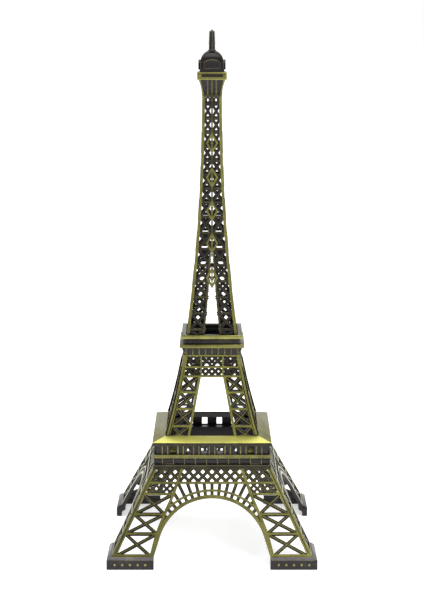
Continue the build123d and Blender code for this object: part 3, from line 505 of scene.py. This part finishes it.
class TOWER_PG_edges(bpy.types.PropertyGroup):
    lattice: bpy.props.FloatProperty(
        name="Lattice edge", description="Softened edge of the lattice bars", unit="LENGTH", precision=5,
        default=0.06 * MM, min=0.02 * MM)
    ring: bpy.props.FloatProperty(
        name="Ring edge", description="Softened edge of the floors' rings", unit="LENGTH", precision=5,
        default=0.22 * MM, min=0.02 * MM)
    lantern: bpy.props.FloatProperty(
        name="Lantern edge", description="Softened edge of the lantern and mast", unit="LENGTH", precision=5,
        default=0.14 * MM, min=0.02 * MM)
    foot: bpy.props.FloatProperty(
        name="Foot edge", description="Softened edge of the feet", unit="LENGTH", precision=5,
        default=0.3 * MM, min=0.02 * MM)


class TOWER_PG_stage(bpy.types.PropertyGroup):
    floor_size: bpy.props.FloatProperty(
        name="Floor", description="Side of the square floor, so wide that no edge shows", default=40.0,
        unit="LENGTH")
    top_power: bpy.props.FloatProperty(
        name="Top light", description="Power of the softbox overhead", default=6.0, unit="POWER")
    key_power: bpy.props.FloatProperty(
        name="Key light", description="Power of the softbox on the right", default=5.0, unit="POWER")
    camera_place: bpy.props.FloatVectorProperty(
        name="Camera", description="Where the camera stands", subtype="TRANSLATION", unit="LENGTH",
        default=(0.0, -0.9078, 0.3249))
    camera_tilt: bpy.props.FloatProperty(
        name="Tilt", description="How far the camera looks down", subtype="ANGLE", default=0.1866)
    lens: bpy.props.FloatProperty(
        name="Lens", description="Focal length", subtype="DISTANCE_CAMERA", default=88.6)


# Operators, one for each group of castings

class TOWER_OT_feet(bpy.types.Operator):
    """Cast the four feet, in gunmetal with brass at the edges"""
    bl_idname = "tower.feet"
    bl_label = "Feet"

    def execute(self, context):
        edges = context.scene.tower_edges
        for place in FEET:
            cast("foot_" + place, "gunmetal_patina", rub_feet_with_painted_ledge_light, edges.foot, wear=0.2, segments=2)
        return {"FINISHED"}


class TOWER_OT_lower_sides(bpy.types.Operator):
    """Cast the four lower sides, each with its arch and lattices"""
    bl_idname = "tower.lower_sides"
    bl_label = "Lower sides"

    def execute(self, context):
        edges = context.scene.tower_edges
        for side in SIDES:
            cast("lower_side_" + side, "antique_brass", rub_lower, edges.lattice, wear=0.15)
        return {"FINISHED"}


class TOWER_OT_first_floor(bpy.types.Operator):
    """Cast the first floor's fascia, gallery and cornice"""
    bl_idname = "tower.first_floor"
    bl_label = "First floor"

    def execute(self, context):
        edges = context.scene.tower_edges
        cast("first_floor_fascia", "antique_brass", rub_first_fascia, edges.lattice, wear=0.2)
        cast("first_floor_gallery", "antique_brass", rub_gallery, edges.lattice, wear=0.15)
        cast("first_floor_cornice", "rubbed_brass", rub_cornice_with_painted_roof_light, edges.ring, wear=0.1, segments=2)
        return {"FINISHED"}


class TOWER_OT_middle_sides(bpy.types.Operator):
    """Cast the four middle sides"""
    bl_idname = "tower.middle_sides"
    bl_label = "Middle sides"

    def execute(self, context):
        edges = context.scene.tower_edges
        for side in SIDES:
            cast("middle_side_" + side, "antique_brass", rub_middle, edges.lattice, wear=0.15)
        return {"FINISHED"}


class TOWER_OT_second_floor(bpy.types.Operator):
    """Cast the second floor's fascia, balcony and parapet"""
    bl_idname = "tower.second_floor"
    bl_label = "Second floor"

    def execute(self, context):
        edges = context.scene.tower_edges
        cast("second_floor_fascia", "antique_brass", rub_second_fascia, edges.lattice, wear=0.2)
        cast("second_floor_balcony", "antique_brass", rub_balcony, edges.ring, wear=0.2, segments=2)
        cast("second_floor_parapet", "antique_brass", rub_parapet, edges.ring, wear=0.15, segments=2)
        return {"FINISHED"}


class TOWER_OT_spire_sides(bpy.types.Operator):
    """Cast the four spire sides with their badges"""
    bl_idname = "tower.spire_sides"
    bl_label = "Spire sides"

    def execute(self, context):
        edges = context.scene.tower_edges
        for side in SIDES:
            cast("spire_side_" + side, "antique_brass", rub_spire, edges.lattice, wear=0.15)
        return {"FINISHED"}


class TOWER_OT_head(bpy.types.Operator):
    """Cast the head: cove, collar, lantern cabin, cupola and mast"""
    bl_idname = "tower.head"
    bl_label = "Head"

    def execute(self, context):
        edges = context.scene.tower_edges
        cast("head_cove", "antique_brass", rub_cove, edges.lattice, wear=0.15)
        cast("head_collar", "antique_brass", rub_collar, edges.ring, wear=0.15, segments=2)
        for node in ("lantern_cabin", "cupola", "mast"):
            cast(node, "gunmetal_patina", rub_lantern_with_painted_tops, edges.lantern, wear=0.45, least=0.0)
        return {"FINISHED"}


# Stage

def lay_floor(stage):
    """Matt white acrylic that glows a little, so it stays white to its edge, with a tooth 2 mm across."""
    bpy.ops.object.select_all(action="DESELECT")
    bpy.ops.mesh.primitive_plane_add(size=stage.floor_size, location=(0, 0, 0))
    floor = bpy.context.object
    floor.name = "floor"
    acrylic = bpy.data.materials.new("white_acrylic")
    acrylic.use_nodes = True
    tree = acrylic.node_tree
    tree.nodes.clear()
    place = add_node(tree, "ShaderNodeTexCoord").outputs["Object"]
    tooth = add_node(tree, "ShaderNodeTexNoise", {"Vector": place, "Scale": per_metre(2.0)})
    bump = add_node(tree, "ShaderNodeBump", {
        "Height": tooth.outputs["Fac"], "Strength": 0.1, "Distance": 0.05 * MM})
    shader = add_node(tree, "ShaderNodeBsdfPrincipled", {
        "Base Color": srgb("#f6f6f4"), "Roughness": 0.7, "Normal": bump.outputs["Normal"],
        "Emission Color": (1, 1, 1, 1), "Emission Strength": 0.55})
    add_node(tree, "ShaderNodeOutputMaterial", {"Surface": shader.outputs["BSDF"]})
    floor.data.materials.append(acrylic)


def light_room(scene):
    """A white room, dimmer towards the front, that the camera sees as plain white."""
    world = bpy.data.worlds.new("white_room")
    scene.world = world
    world.use_nodes = True
    tree = world.node_tree
    tree.nodes.clear()
    way = add_node(tree, "ShaderNodeTexCoord").outputs["Generated"]
    part = add_node(tree, "ShaderNodeSeparateXYZ", {"Vector": way})
    behind = add_node(tree, "ShaderNodeMapRange", {
        "Value": part.outputs["Y"], "From Min": -0.7, "From Max": 0.5, "To Min": 0.34, "To Max": 0.95},
        interpolation_type="SMOOTHSTEP")
    above = add_node(tree, "ShaderNodeMapRange", {
        "Value": part.outputs["Z"], "From Min": 0.2, "From Max": 0.9, "To Min": 0.0, "To Max": 0.1},
        interpolation_type="SMOOTHSTEP")
    level = add_node(tree, "ShaderNodeMath", {
        0: behind.outputs["Result"], 1: above.outputs["Result"]}, operation="ADD")
    seen = add_node(tree, "ShaderNodeLightPath")
    room = add_node(tree, "ShaderNodeBackground", {"Color": (1, 1, 1, 1), "Strength": level.outputs["Value"]})
    plain = add_node(tree, "ShaderNodeBackground", {"Color": (1, 1, 1, 1), "Strength": 1.0})
    mix = add_node(tree, "ShaderNodeMixShader", {
        0: seen.outputs["Is Camera Ray"], 1: room.outputs["Background"], 2: plain.outputs["Background"]})
    add_node(tree, "ShaderNodeOutputWorld", {"Surface": mix.outputs["Shader"]})


def hang_light(name, power, place, aim, size):
    """A square softbox that points at a spot."""
    turn = (Vector(aim) - Vector(place)).to_track_quat("-Z", "Y").to_euler()
    bpy.ops.object.light_add(type="AREA", location=place, rotation=turn)
    light = bpy.context.object
    light.name = name
    light.data.shape = "SQUARE"
    light.data.size = size
    light.data.energy = power


class TOWER_OT_stage(bpy.types.Operator):
    """Set the pale floor, the soft studio light and the camera"""
    bl_idname = "tower.stage"
    bl_label = "Stage"

    def execute(self, context):
        stage = context.scene.tower_stage
        lay_floor(stage)
        light_room(context.scene)
        hang_light("top softbox", stage.top_power, place=(0.0, -0.1, 1.1), aim=(0.0, 0.0, 0.1), size=1.0)
        hang_light("key softbox", stage.key_power, place=(0.5, -0.9, 0.65), aim=(0.0, 0.0, 0.14), size=0.4)
        bpy.ops.object.camera_add(
            location=stage.camera_place, rotation=(math.pi / 2 - stage.camera_tilt, 0, 0))
        camera = context.object
        camera.data.lens = stage.lens
        camera.data.sensor_width = 36.0
        context.scene.camera = camera
        context.scene.view_settings.view_transform = "Standard"
        return {"FINISHED"}


STEPS = (
    TOWER_OT_feet, TOWER_OT_lower_sides, TOWER_OT_first_floor, TOWER_OT_middle_sides,
    TOWER_OT_second_floor, TOWER_OT_spire_sides, TOWER_OT_head, TOWER_OT_stage,
)


class TOWER_PT_panel(bpy.types.Panel):
    """The tower's castings and stage"""
    bl_idname = "TOWER_PT_panel"
    bl_label = "Lattice tower"
    bl_space_type = "VIEW_3D"
    bl_region_type = "UI"
    bl_category = "Tower"

    def draw(self, context):
        for step in STEPS:
            self.layout.operator(step.bl_idname)
        for group in (context.scene.tower_finish, context.scene.tower_edges, context.scene.tower_stage):
            box = self.layout.box()
            for name in group.__annotations__:
                box.prop(group, name)


GROUPS = {
    "tower_finish": TOWER_PG_finish,
    "tower_edges": TOWER_PG_edges,
    "tower_stage": TOWER_PG_stage,
}

CLASSES = (*GROUPS.values(), *STEPS, TOWER_PT_panel)


def register():
    for kind in CLASSES:
        bpy.utils.register_class(kind)
    for name, group in GROUPS.items():
        setattr(bpy.types.Scene, name, bpy.props.PointerProperty(type=group))


def unregister():
    for name in GROUPS:
        delattr(bpy.types.Scene, name)
    for kind in reversed(CLASSES):
        bpy.utils.unregister_class(kind)


def main():
    register()
    bpy.ops.tower.feet()
    bpy.ops.tower.lower_sides()
    bpy.ops.tower.first_floor()
    bpy.ops.tower.middle_sides()
    bpy.ops.tower.second_floor()
    bpy.ops.tower.spire_sides()
    bpy.ops.tower.head()
    bpy.ops.tower.stage()


if __name__ == "__main__":
    main()
